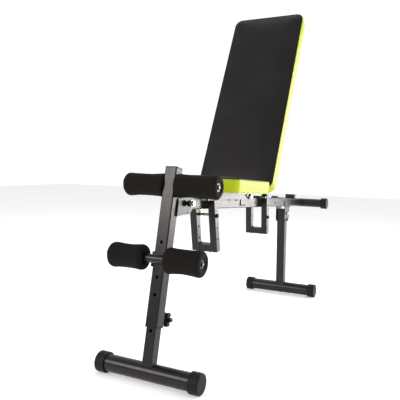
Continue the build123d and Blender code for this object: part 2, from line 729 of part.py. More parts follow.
with BuildPart() as seat_drop_leg_right:
    with BuildSketch(side_plane(RAIL_IN)):
        with BuildLine():
            Polyline(seat_leg_at(-101.2, -12), seat_leg_at(76, -12), seat_leg_at(76, 12),
                     seat_leg_at(-95.8, 12), close=True)
        make_face()
    extrude(amount=RAIL)
    with BuildSketch(side_plane(RAIL_IN + RAIL_WALL)):
        with BuildLine():
            Polyline(seat_leg_at(-104, -10.4), seat_leg_at(74.4, -10.4), seat_leg_at(74.4, 10.4),
                     seat_leg_at(-104, 10.4), close=True)
        make_face()
    extrude(amount=RAIL - 2 * RAIL_WALL, mode=Mode.SUBTRACT)
    with BuildSketch(side_plane(0)):
        with Locations(seat_leg_at(-46.7, 0), seat_leg_at(-6.7, 0), seat_leg_at(33.3, 0)):
            Circle(PIN_R + RUN)
    extrude(amount=60, mode=Mode.SUBTRACT)
seat_drop_leg_right.part.label = "seat_drop_leg_right"
export_step(seat_drop_leg_right.part, "parts/seat_drop_leg_right.step")

with BuildPart() as seat_drop_leg_left:
    mirror(seat_drop_leg_right.part, about=Plane.YZ)
seat_drop_leg_left.part.label = "seat_drop_leg_left"
export_step(seat_drop_leg_left.part, "parts/seat_drop_leg_left.step")

with BuildPart() as seat_drop_bar:
    with BuildSketch(side_plane(-RAIL_IN)):
        with BuildLine():
            Polyline(seat_leg_at(52, -12), seat_leg_at(76, -12), seat_leg_at(76, 12),
                     seat_leg_at(52, 12), close=True)
        make_face()
        with BuildLine():
            Polyline(seat_leg_at(53.6, -10.4), seat_leg_at(74.4, -10.4),
                     seat_leg_at(74.4, 10.4), seat_leg_at(53.6, 10.4), close=True)
        make_face(mode=Mode.SUBTRACT)
    extrude(amount=2 * RAIL_IN)
seat_drop_bar.part.label = "seat_drop_bar"
export_step(seat_drop_bar.part, "parts/seat_drop_bar.step")

with BuildPart() as seat_pull_pin:
    with BuildSketch(side_plane(RAIL_IN + 1.5)):
        with Locations(SEAT_PIN):
            Circle(PIN_R)
    extrude(amount=RAIL + 2)
    with BuildSketch(side_plane(RAIL_IN + RAIL + 0.4)):
        with Locations(SEAT_PIN):
            Circle(6.5)
    extrude(amount=6)
    fillet(seat_pull_pin.edges().group_by(Axis.X)[-1], radius=2.5)
seat_pull_pin.part.label = "seat_pull_pin"
export_step(seat_pull_pin.part, "parts/seat_pull_pin.step")

# ---- back ----
with BuildPart() as back_board:
    with BuildSketch(back_face_plane((BACK_START + BACK_END) / 2, BACK_FACE - BACK_T)):
        RectangleRounded(BACK_W - 6, BACK_END - BACK_START - 6, BACK_R - 3)
    extrude(amount=BOARD_T)
    with BuildSketch(back_face_plane(0, BACK_FACE - BACK_T)):
        with Locations(*[(x, u) for x in (-RAIL_X, RAIL_X) for u in (130.0, 380.0, 600.0)]):
            Circle(3.5)
    extrude(amount=9, mode=Mode.SUBTRACT)
back_board.part.label = "back_board"
export_step(back_board.part, "parts/back_board.step")

with BuildPart() as back_cushion:
    with BuildSketch(back_face_plane((BACK_START + BACK_END) / 2,
                                     BACK_FACE - BACK_T + BOARD_T + 0.1)):
        RectangleRounded(BACK_W, BACK_END - BACK_START, BACK_R)
    extrude(amount=BACK_T - BOARD_T - 0.1)
    fillet(back_cushion.faces().sort_by(Axis.Y)[0].edges(), radius=7)
back_cushion.part.label = "back_cushion"
export_step(back_cushion.part, "parts/back_cushion.step")

with BuildPart() as back_rail_right:
    with BuildSketch(back_cross_plane(28, BACK_FACE - BACK_T - RAIL_H / 2, RAIL_X)):
        RectangleRounded(RAIL, RAIL_H, 2.2)
        RectangleRounded(RAIL - 2 * RAIL_WALL, RAIL_H - 2 * RAIL_WALL, 0.9, mode=Mode.SUBTRACT)
    extrude(amount=672)
    with BuildSketch(side_plane(0)):
        with Locations(PROP_BOLT):
            Circle(PIN_R)
        # open notch that drops over the stop rod when the back lies flat
        Polygon(back_at(183, -24), back_at(196.5, -24), back_at(196.5, 3.5), back_at(183, 3.5), align=None)
    extrude(amount=60, mode=Mode.SUBTRACT)
    with BuildSketch(back_face_plane(0, -60)):
        with Locations((RAIL_X, 130.0), (RAIL_X, 380.0), (RAIL_X, 600.0)):
            Circle(3.5)
    extrude(amount=90, mode=Mode.SUBTRACT)
back_rail_right.part.label = "back_rail_right"
export_step(back_rail_right.part, "parts/back_rail_right.step")

with BuildPart() as back_rail_left:
    mirror(back_rail_right.part, about=Plane.YZ)
back_rail_left.part.label = "back_rail_left"
export_step(back_rail_left.part, "parts/back_rail_left.step")

with BuildPart() as back_rail_plugs:
    with BuildSketch(back_cross_plane(700, BACK_FACE - BACK_T - RAIL_H / 2, RAIL_X)):
        RectangleRounded(RAIL - 0.6, RAIL_H - 0.6, 2)
    extrude(amount=2)
    with BuildSketch(back_cross_plane(690, BACK_FACE - BACK_T - RAIL_H / 2, RAIL_X)):
        RectangleRounded(RAIL - 2 * RAIL_WALL - 0.2, RAIL_H - 2 * RAIL_WALL - 0.2, 0.8)
    extrude(amount=10)
    mirror(about=Plane.YZ)
back_rail_plugs.part.label = "back_rail_plugs"
export_step(back_rail_plugs.part, "parts/back_rail_plugs.step")

with BuildPart() as back_hinge_plates:
    with BuildSketch(side_plane(RAIL_IN + RAIL + 0.5)) as plate_outline:
        with BuildLine():
            Polyline(back_at(-12, 37), back_at(2, 31), back_at(2, 7.5), back_at(112, 7.5),
                     back_at(112, -14), back_at(60, -17), back_at(25, -42), back_at(-12, -4),
                     close=True)
        make_face()
        fillet(plate_outline.vertices(), radius=2)
        with Locations(HINGE):
            Circle(BOLT_R + RUN, mode=Mode.SUBTRACT)
    extrude(amount=PLATE)
    mirror(about=Plane.YZ)
back_hinge_plates.part.label = "back_hinge_plates"
export_step(back_hinge_plates.part, "parts/back_hinge_plates.step")

with BuildPart() as back_cross_ties:
    with BuildSketch(back_face_plane(0, BACK_FACE - BACK_T - RAIL_H)):
        with Locations((0, 450), (0, 672)):
            RectangleRounded(2 * (RAIL_IN + RAIL), 36, 3)
    extrude(amount=-4)
back_cross_ties.part.label = "back_cross_ties"
export_step(back_cross_ties.part, "parts/back_cross_ties.step")

with BuildPart() as back_screws:
    with BuildSketch(back_face_plane(0, BACK_FACE - BACK_T - RAIL_H)):
        with Locations(*[(x, u) for x in (-RAIL_X, RAIL_X) for u in (130.0, 380.0, 600.0)]):
            Circle(3.4)
    extrude(amount=RAIL_H + 8)
    with BuildSketch(back_face_plane(0, BACK_FACE - BACK_T - RAIL_H)):
        with Locations(*[(x, u) for x in (-RAIL_X, RAIL_X) for u in (130.0, 380.0, 600.0)]):
            RegularPolygon(radius=7, side_count=6)
    extrude(amount=-5)
back_screws.part.label = "back_screws"
export_step(back_screws.part, "parts/back_screws.step")

with BuildPart() as prop_bolt:
    with BuildSketch(side_plane(-56)):
        with Locations(PROP_BOLT):
            Circle(PIN_R)
    extrude(amount=112)
    with BuildSketch(side_plane(50.5)):
        with Locations(PROP_BOLT):
            RegularPolygon(radius=7.5, side_count=6)
    extrude(amount=5.5)
    with BuildSketch(side_plane(-50.5)):
        with Locations(PROP_BOLT):
            RegularPolygon(radius=7.5, side_count=6)
    extrude(amount=-6.5)
prop_bolt.part.label = "prop_bolt"
export_step(prop_bolt.part, "parts/prop_bolt.step")

# ---- prop of the back ----
with BuildPart() as prop_leg_right:
    with BuildSketch(side_plane(RAIL_IN)):
        with BuildLine():
            Polyline(prop_at(-326, -12), prop_at(69, -12), prop_at(69, 12), prop_at(-326, 12),
                     close=True)
        make_face()
    extrude(amount=RAIL)
    with BuildSketch(side_plane(RAIL_IN + RAIL_WALL)):
        with BuildLine():
            Polyline(prop_at(-324.4, -10.4), prop_at(67.4, -10.4), prop_at(67.4, 10.4),
                     prop_at(-324.4, 10.4), close=True)
        make_face()
    extrude(amount=RAIL - 2 * RAIL_WALL, mode=Mode.SUBTRACT)
    with BuildSketch(side_plane(0)):
        with Locations(prop_at(-1, 0), prop_at(-51, 0), prop_at(-151, 0), prop_at(-201, 0)):
            Circle(PIN_R + RUN)
    extrude(amount=60, mode=Mode.SUBTRACT)
prop_leg_right.part.label = "prop_leg_right"
export_step(prop_leg_right.part, "parts/prop_leg_right.step")

with BuildPart() as prop_leg_left:
    mirror(prop_leg_right.part, about=Plane.YZ)
prop_leg_left.part.label = "prop_leg_left"
export_step(prop_leg_left.part, "parts/prop_leg_left.step")

with BuildPart() as prop_bar:
    with BuildSketch(side_plane(-RAIL_IN)):
        with BuildLine():
            Polyline(prop_at(45, -12), prop_at(69, -12), prop_at(69, 12), prop_at(45, 12),
                     close=True)
        make_face()
        with BuildLine():
            Polyline(prop_at(46.6, -10.4), prop_at(67.4, -10.4), prop_at(67.4, 10.4),
                     prop_at(46.6, 10.4), close=True)
        make_face(mode=Mode.SUBTRACT)
    extrude(amount=2 * RAIL_IN)
prop_bar.part.label = "prop_bar"
export_step(prop_bar.part, "parts/prop_bar.step")

with BuildPart() as prop_lugs:
    with BuildSketch(side_plane(RAIL_IN + RAIL + 0.1)) as lug_outline:
        with BuildLine():
            Polyline(prop_at(-250, -11), (PROP_BOLT[0] - 13, PROP_BOLT[1] - 2),
                     (PROP_BOLT[0] - 2, PROP_BOLT[1] + 13), (PROP_BOLT[0] + 12, PROP_BOLT[1] + 8),
                     prop_at(-323, 11), prop_at(-250, 11), close=True)
        make_face()
        fillet(lug_outline.vertices(), radius=4)
        with Locations(PROP_BOLT):
            Circle(PIN_R + RUN, mode=Mode.SUBTRACT)
    extrude(amount=PLATE)
    mirror(about=Plane.YZ)
prop_lugs.part.label = "prop_lugs"
export_step(prop_lugs.part, "parts/prop_lugs.step")

with BuildPart() as prop_pull_pin:
    with BuildSketch(side_plane(RAIL_IN + 1.5)):
        with Locations(PROP_PIN):
            Circle(PIN_R)
    extrude(amount=RAIL + 2)
    with BuildSketch(side_plane(RAIL_IN + RAIL + 0.4)):
        with Locations(PROP_PIN):
            Circle(6.5)
    extrude(amount=6)
    fillet(prop_pull_pin.edges().group_by(Axis.X)[-1], radius=2.5)
prop_pull_pin.part.label = "prop_pull_pin"
export_step(prop_pull_pin.part, "parts/prop_pull_pin.step")
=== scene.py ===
"""Looks of the adjustable weight bench: upholstery, foam rollers, weld beads, finishes, light and camera."""

from __future__ import annotations

import json
import logging
import math
from collections.abc import Callable
from dataclasses import dataclass, field
from enum import Enum

import bmesh
import bpy
import numpy as np
from mathutils import Matrix, Vector

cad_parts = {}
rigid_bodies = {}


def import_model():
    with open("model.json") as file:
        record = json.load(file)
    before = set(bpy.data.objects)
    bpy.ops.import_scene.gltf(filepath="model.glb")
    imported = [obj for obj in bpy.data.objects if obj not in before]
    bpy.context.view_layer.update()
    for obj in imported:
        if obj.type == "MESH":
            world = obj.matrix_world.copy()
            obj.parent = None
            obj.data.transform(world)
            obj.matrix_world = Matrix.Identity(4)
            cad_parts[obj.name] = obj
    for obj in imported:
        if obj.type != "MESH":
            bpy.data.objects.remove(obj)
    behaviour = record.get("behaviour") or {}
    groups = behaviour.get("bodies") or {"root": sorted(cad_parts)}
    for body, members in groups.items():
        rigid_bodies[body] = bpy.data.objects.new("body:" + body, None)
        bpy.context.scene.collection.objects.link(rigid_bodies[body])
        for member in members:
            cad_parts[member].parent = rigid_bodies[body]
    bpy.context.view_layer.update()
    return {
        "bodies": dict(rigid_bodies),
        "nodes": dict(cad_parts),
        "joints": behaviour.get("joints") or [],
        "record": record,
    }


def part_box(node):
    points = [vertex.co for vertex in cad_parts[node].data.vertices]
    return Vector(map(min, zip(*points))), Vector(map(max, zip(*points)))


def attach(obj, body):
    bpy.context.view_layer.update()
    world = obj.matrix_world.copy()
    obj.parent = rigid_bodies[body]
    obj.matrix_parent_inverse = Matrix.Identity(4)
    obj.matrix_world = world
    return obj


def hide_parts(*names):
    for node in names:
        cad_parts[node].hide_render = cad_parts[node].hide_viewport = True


LOG = logging.getLogger("weight_bench")
MM = 0.001


class Slot(Enum):
    """Material slots of the record that the frame's nodes take their finish from."""

    FRAME = "black_frame"
    VINYL = "lime_black_vinyl"
    BOARD = "board"
    FOAM = "black_foam"
    PLASTIC = "black_plastic"
    BRIGHT = "bright_fastener"
    ZINC = "zinc_rod"
    DARK = "dark_fastener"


class Bead(Enum):
    """Shapes that a path pattern can repeat."""

    ROUND = "round"
    BAR = "bar"


# ---- node helpers ----
class Shade:
    """A material under construction, with short calls to add and join its nodes."""

    def __init__(self, name: str) -> None:
        """Start a material.

        Args:
            name: The material's name.
        """
        self.mat = bpy.data.materials.new(name)
        self.mat.use_nodes = True
        self.tree = self.mat.node_tree
        self.bsdf = self.tree.nodes["Principled BSDF"]
        self.coords = self.tree.nodes.new("ShaderNodeTexCoord").outputs["Object"]

    def node(self, kind: str, **values: object) -> bpy.types.Node:
        """Add a node and set its properties or input values.

        Args:
            kind: The node's type name.
            **values: Property or input values by name, with spaces as underscores.

        Returns:
            The new node.
        """
        made = self.tree.nodes.new(kind)
        for key, value in values.items():
            if hasattr(made, key):
                setattr(made, key, value)
            else:
                made.inputs[key.replace("_", " ")].default_value = value
        return made

    def link(self, source: bpy.types.NodeSocket, target: bpy.types.NodeSocket) -> None:
        """Join two sockets."""
        self.tree.links.new(source, target)

    def noise(self, scale: float, detail: float = 3.0, rough: float = 0.5) -> bpy.types.NodeSocket:
        """Add a noise texture on the piece's own coordinates.

        Args:
            scale: Features per metre.
            detail: Octaves.
            rough: Strength of the fine octaves.

        Returns:
            The noise value's socket.
        """
        made = self.node("ShaderNodeTexNoise", Scale=scale, Detail=detail, Roughness=rough)
        self.link(self.coords, made.inputs["Vector"])
        return made.outputs["Fac"]

    def cells(self, scale: float, feature: str = "F1") -> bpy.types.NodeSocket:
        """Add a cell texture on the piece's own coordinates.

        Args:
            scale: Cells per metre.
            feature: Which distance the texture gives.

        Returns:
            The distance socket.
        """
        made = self.node("ShaderNodeTexVoronoi", feature=feature, Scale=scale)
        self.link(self.coords, made.inputs["Vector"])
        return made.outputs["Distance"]

    def ramp(self, source: bpy.types.NodeSocket, low: float, high: float,
             first: tuple[float, ...], last: tuple[float, ...]) -> bpy.types.NodeSocket:
        """Map a value to colours.

        Args:
            source: The value.
            low: Where the first colour ends.
            high: Where the last colour starts.
            first: Colour for low values.
            last: Colour for high values.

        Returns:
            The colour socket.
        """
        made = self.node("ShaderNodeValToRGB")
        made.color_ramp.elements[0].position = low
        made.color_ramp.elements[1].position = high
        made.color_ramp.elements[0].color = (*first, 1.0)
        made.color_ramp.elements[1].color = (*last, 1.0)
        self.link(source, made.inputs["Fac"])
        return made.outputs["Color"]

    def span(self, source: bpy.types.NodeSocket, low: float, high: float) -> bpy.types.NodeSocket:
        """Map a 0 to 1 value onto a range.

        Args:
            source: The value.
            low: Result at 0.
            high: Result at 1.

        Returns:
            The mapped socket.
        """
        made = self.node("ShaderNodeMapRange")
        made.inputs["To Min"].default_value = low
        made.inputs["To Max"].default_value = high
        self.link(source, made.inputs["Value"])
        return made.outputs["Result"]

    def bump(self, height: bpy.types.NodeSocket, distance: float, strength: float,
             under: bpy.types.NodeSocket | None = None) -> bpy.types.NodeSocket:
        """Add a bump.

        Args:
            height: The height socket.
            distance: Height in metres.
            strength: How much of it shows.
            under: A normal that this one is laid on.

        Returns:
            The normal socket.
        """
        made = self.node("ShaderNodeBump", Strength=strength, Distance=distance)
        self.link(height, made.inputs["Height"])
        if under is not None:
            self.link(under, made.inputs["Normal"])
        return made.outputs["Normal"]

    def done(self, normal: bpy.types.NodeSocket | None = None, **values: object) -> bpy.types.Material:
        """Set the shader's own values and finish.

        Args:
            normal: The normal socket, if the surface has bumps.
            **values: Shader inputs by name, with spaces as underscores.

        Returns:
            The finished material.
        """
        for key, value in values.items():
            self.bsdf.inputs[key.replace("_", " ")].default_value = value
        if normal is not None:
            self.link(normal, self.bsdf.inputs["Normal"])
        return self.mat


# ---- finishes ----
@dataclass(frozen=True)
class PowderCoat:
    """Black semi-gloss powder coat with orange peel and faint handling marks."""

    name: str = "powder_coat"
    dark: tuple[float, float, float] = (0.0062, 0.0056, 0.0048)
    worn: tuple[float, float, float] = (0.0125, 0.0114, 0.0100)
    rough_low: float = 0.24
    rough_high: float = 0.36
    peel: float = 0.00006

    def make(self) -> bpy.types.Material:
        """Build the material."""
        s = Shade(self.name)
        marks = s.noise(16.0, 5.0, 0.65)
        s.link(s.ramp(marks, 0.42, 0.72, self.dark, self.worn), s.bsdf.inputs["Base Color"])
        s.link(s.span(s.noise(55.0, 4.0), self.rough_low, self.rough_high), s.bsdf.inputs["Roughness"])
        peel = s.bump(s.noise(620.0, 2.0), self.peel, 0.35)
        fine = s.bump(s.cells(1500.0), self.peel * 0.4, 0.2, peel)
        return s.done(fine, Metallic=0.0, IOR=1.5, Specular_IOR_Level=0.36)


@dataclass(frozen=True)
class Vinyl:
    """Coated vinyl with a pressed leather grain."""

    name: str
    base: tuple[float, float, float]
    shade: tuple[float, float, float]
    rough_low: float = 0.42
    rough_high: float = 0.56
    grain: float = 0.00022
    sheen: float = 0.0
    gloss: float = 0.5

    def make(self) -> bpy.types.Material:
        """Build the material."""
        s = Shade(self.name)
        s.link(s.ramp(s.noise(9.0, 4.0), 0.35, 0.68, self.shade, self.base), s.bsdf.inputs["Base Color"])
        pebble = s.cells(760.0)
        s.link(s.span(pebble, self.rough_low, self.rough_high), s.bsdf.inputs["Roughness"])
        pores = s.bump(pebble, self.grain, 0.35)
        creases = s.bump(s.noise(210.0, 4.0, 0.6), self.grain * 1.4, 0.3, pores)
        soft = s.bump(s.noise(24.0, 2.0), 0.0012, 0.22, creases)
        return s.done(soft, Sheen_Weight=self.sheen, Sheen_Roughness=0.5, IOR=1.46,
                      Specular_IOR_Level=self.gloss)


@dataclass(frozen=True)
class CellFoam:
    """Matte closed-cell foam of the leg rollers."""

    name: str = "roller_foam"
    dark: tuple[float, float, float] = (0.0085, 0.0076, 0.0066)
    light: tuple[float, float, float] = (0.0120, 0.0106, 0.0092)

    def make(self) -> bpy.types.Material:
        """Build the material."""
        s = Shade(self.name)
        s.link(s.ramp(s.noise(120.0, 6.0, 0.7), 0.35, 0.7, self.dark, self.light),
               s.bsdf.inputs["Base Color"])
        s.link(s.span(s.noise(320.0, 3.0), 0.72, 0.92), s.bsdf.inputs["Roughness"])
        pits = s.bump(s.cells(1300.0), 0.00025, 0.4)
        skin = s.bump(s.noise(40.0, 2.0), 0.0006, 0.2, pits)
        return s.done(skin, IOR=1.4, Specular_IOR_Level=0.16)


@dataclass(frozen=True)
class Moulded:
    """Moulded black plastic with a fine spark-eroded texture."""

    name: str = "moulded_plastic"
    dark: tuple[float, float, float] = (0.0085, 0.0080, 0.0074)
    light: tuple[float, float, float] = (0.015, 0.0142, 0.0132)
    rough: tuple[float, float] = (0.5, 0.66)

    def make(self) -> bpy.types.Material:
        """Build the material."""
        s = Shade(self.name)
        s.link(s.ramp(s.noise(40.0, 4.0), 0.4, 0.7, self.dark, self.light), s.bsdf.inputs["Base Color"])
        s.link(s.span(s.noise(300.0, 3.0), *self.rough), s.bsdf.inputs["Roughness"])
        grit = s.bump(s.noise(1400.0, 2.0), 0.00012, 0.5)
        return s.done(grit, IOR=1.48, Specular_IOR_Level=0.2)


@dataclass(frozen=True)
class Plated:
    """Plated steel, bright or yellow, with fine turning lines and dull patches."""

    name: str
    base: tuple[float, float, float]
    dull: tuple[float, float, float]
    rough: tuple[float, float] = (0.18, 0.38)
    metallic: float = 1.0

    def make(self) -> bpy.types.Material:
        """Build the material."""
        s = Shade(self.name)
        s.link(s.ramp(s.noise(150.0, 4.0, 0.6), 0.38, 0.66, self.dull, self.base),
               s.bsdf.inputs["Base Color"])
        s.link(s.span(s.noise(90.0, 4.0), *self.rough), s.bsdf.inputs["Roughness"])
        lines = s.bump(s.noise(1100.0, 2.0), 0.00006, 0.4)
        return s.done(lines, Metallic=self.metallic)


@dataclass(frozen=True)
class BoltEnd:
    """Bright domed bolt centre on a blackened washer, told apart by the distance from the bolt's axis."""

    name: str
    axis: tuple[float, float, float]
    bright: float = 0.0030

    def make(self) -> bpy.types.Material:
        """Build the material."""
        s = Shade(self.name)
        shift = s.node("ShaderNodeMapping")
        shift.inputs["Location"].default_value = (0.0, -self.axis[1], -self.axis[2])
        shift.inputs["Scale"].default_value = (0.0, 1.0, 1.0)
        s.link(s.coords, shift.inputs["Vector"])
        away = s.node("ShaderNodeVectorMath", operation="LENGTH")
        s.link(shift.outputs["Vector"], away.inputs[0])
        wobble = s.node("ShaderNodeMath", operation="MULTIPLY_ADD")
        s.link(s.noise(400.0), wobble.inputs[0])
        wobble.inputs[1].default_value = 0.0006
        s.link(away.outputs["Value"], wobble.inputs[2])
        edge = self.bright
        s.link(s.ramp(wobble.outputs[0], edge, edge + 0.0012, (0.34, 0.34, 0.33), (0.016, 0.015, 0.014)),
               s.bsdf.inputs["Base Color"])
        s.link(s.ramp(wobble.outputs[0], edge, edge + 0.0012, (1.0, 1.0, 1.0), (0.1, 0.1, 0.1)),
               s.bsdf.inputs["Metallic"])
        s.link(s.span(s.noise(90.0, 4.0), 0.3, 0.45), s.bsdf.inputs["Roughness"])
        return s.done(s.bump(s.noise(1100.0, 2.0), 0.00006, 0.4))


@dataclass(frozen=True)
class LinerCloth:
    """Black non-woven liner over the plywood, with a crossed fibre texture."""

    name: str = "liner_cloth"

    def make(self) -> bpy.types.Material:
        """Build the material."""
        s = Shade(self.name)
        s.link(s.ramp(s.noise(420.0, 5.0, 0.7), 0.36, 0.68, (0.010, 0.010, 0.010), (0.040, 0.039, 0.037)),
               s.bsdf.inputs["Base Color"])
        dots = s.bump(s.cells(650.0, "SMOOTH_F1"), 0.0005, 0.6)
        fibre = s.bump(s.noise(1500.0, 4.0, 0.7), 0.0003, 0.5, dots)
        return s.done(fibre, Roughness=0.93, Sheen_Weight=0.2)


@dataclass(frozen=True)
class WeldMetal:
    """Weld bead under the black coat."""

    name: str = "coated_weld"

    def make(self) -> bpy.types.Material:
        """Build the material."""
        s = Shade(self.name)
        s.link(s.ramp(s.noise(260.0, 4.0), 0.4, 0.7, (0.010, 0.0098, 0.0095), (0.026, 0.025, 0.024)),
               s.bsdf.inputs["Base Color"])
        s.link(s.span(s.noise(500.0, 3.0), 0.3, 0.5), s.bsdf.inputs["Roughness"])
        return s.done(s.bump(s.noise(900.0, 3.0), 0.0002, 0.5), IOR=1.5)


@dataclass
class Finishes:
    """Every finish of the bench, made once."""

    frame: bpy.types.Material = field(default_factory=lambda: PowderCoat().make())
    black: bpy.types.Material = field(default_factory=lambda: Vinyl(
        "black_vinyl", (0.0125, 0.0118, 0.0112), (0.0085, 0.0080, 0.0076), gloss=0.28).make())
    lime: bpy.types.Material = field(default_factory=lambda: Vinyl(
        "lime_vinyl", (0.49, 0.585, 0.006), (0.43, 0.52, 0.003), 0.40, 0.52, 0.00016, gloss=0.3).make())
    thread: bpy.types.Material = field(default_factory=lambda: Vinyl(
        "lime_thread", (0.42, 0.55, 0.03), (0.33, 0.46, 0.02), 0.6, 0.75, 0.0001, 0.2).make())
    foam: bpy.types.Material = field(default_factory=lambda: CellFoam().make())
    plastic: bpy.types.Material = field(default_factory=lambda: Moulded().make())
    bright: bpy.types.Material = field(default_factory=lambda: Plated(
        "bright_zinc", (0.78, 0.78, 0.77), (0.55, 0.56, 0.56)).make())
    yellow: bpy.types.Material = field(default_factory=lambda: Plated(
        "yellow_zinc", (0.40, 0.42, 0.24), (0.26, 0.29, 0.15), (0.25, 0.42)).make())
    oxide: bpy.types.Material = field(default_factory=lambda: Plated(
        "black_oxide", (0.030, 0.030, 0.031), (0.014, 0.014, 0.014), (0.3, 0.45), 0.6).make())
    liner: bpy.types.Material = field(default_factory=lambda: LinerCloth().make())
    weld: bpy.types.Material = field(default_factory=lambda: WeldMetal().make())

    def of_slot(self, slot: Slot) -> bpy.types.Material:
        """Give the finish of a record slot."""
        return {Slot.FRAME: self.frame, Slot.VINYL: self.black, Slot.BOARD: self.liner,
                Slot.FOAM: self.foam, Slot.PLASTIC: self.plastic, Slot.BRIGHT: self.bright,
                Slot.ZINC: self.yellow, Slot.DARK: self.oxide}[slot]


# ---- stations, in metres ----
@dataclass(frozen=True)
class Stations:
    """Where the bench's members run, as the frame has them."""

    foot_y: float = -0.7204
    foot_z: float = 0.0295
    rear_y: float = 0.4574
    beam_z: float = 0.5045
    slope: float = math.radians(3.02)
    lean: float = math.radians(12.29)
    rear_lean: float = math.radians(1.7)
    recline: float = math.radians(25.2)
    hinge_s: float = 0.6145
    hinge_n: float = 0.026

    def beam(self, s: float, n: float, x: float = 0.0) -> Vector:
        """Point s along the beam, n above its centre line."""
        return Vector((x, self.foot_y + s * math.cos(self.slope) + n * math.sin(self.slope),
                       self.beam_z - s * math.sin(self.slope) + n * math.cos(self.slope)))

    def post(self, s: float, r: float, x: float = 0.0) -> Vector:
        """Point s up the front post, r to its rear."""
        return Vector((x, self.foot_y + s * math.sin(self.lean) + r * math.cos(self.lean),
                       self.foot_z + s * math.cos(self.lean) - r * math.sin(self.lean)))

    def rear(self, t: float, r: float, x: float = 0.0) -> Vector:
        """Point t up the rear upright, r to its rear."""
        return Vector((x, self.rear_y - t * math.sin(self.rear_lean) + r * math.cos(self.rear_lean),
                       self.foot_z + t * math.cos(self.rear_lean) + r * math.sin(self.rear_lean)))

    def back(self, u: float, w: float, x: float = 0.0) -> Vector:
        """Point u up the back, w towards the sitter."""
        hinge = self.beam(self.hinge_s, self.hinge_n)
        return Vector((x, hinge.y + u * math.sin(self.recline) - w * math.cos(self.recline),
                       hinge.z + u * math.cos(self.recline) + w * math.sin(self.recline)))

    def drop(self, y: float, tilt: float, t: float, r: float, x: float = 0.0) -> Vector:
        """Point t down a drop frame whose axis passes y at 0.4 m height."""
        return Vector((x, self.foot_y + y + t * math.sin(tilt) + r * math.cos(tilt),
                       0.4 - t * math.cos(tilt) + r * math.sin(tilt)))


# ---- mesh helpers ----
def add_piece(name: str, verts: list, faces: list, materials: list[bpy.types.Material],
              smooth: bool = True) -> bpy.types.Object:
    """Make a mesh object with outward normals.

    Args:
        name: The piece's name.
        verts: Corner positions in metres.
        faces: Corner indices.
        materials: Its material slots.
        smooth: Whether it is shaded smooth.

    Returns:
        The object, linked to the scene.
    """
    mesh = bpy.data.meshes.new(name)
    mesh.from_pydata([tuple(v) for v in verts], [], faces)
    work = bmesh.new()
    work.from_mesh(mesh)
    bmesh.ops.recalc_face_normals(work, faces=work.faces)
    work.to_mesh(mesh)
    work.free()
    for polygon in mesh.polygons:
        polygon.use_smooth = smooth
    for material in materials:
        mesh.materials.append(material)
    piece = bpy.data.objects.new(name, mesh)
    bpy.context.scene.collection.objects.link(piece)
    return piece


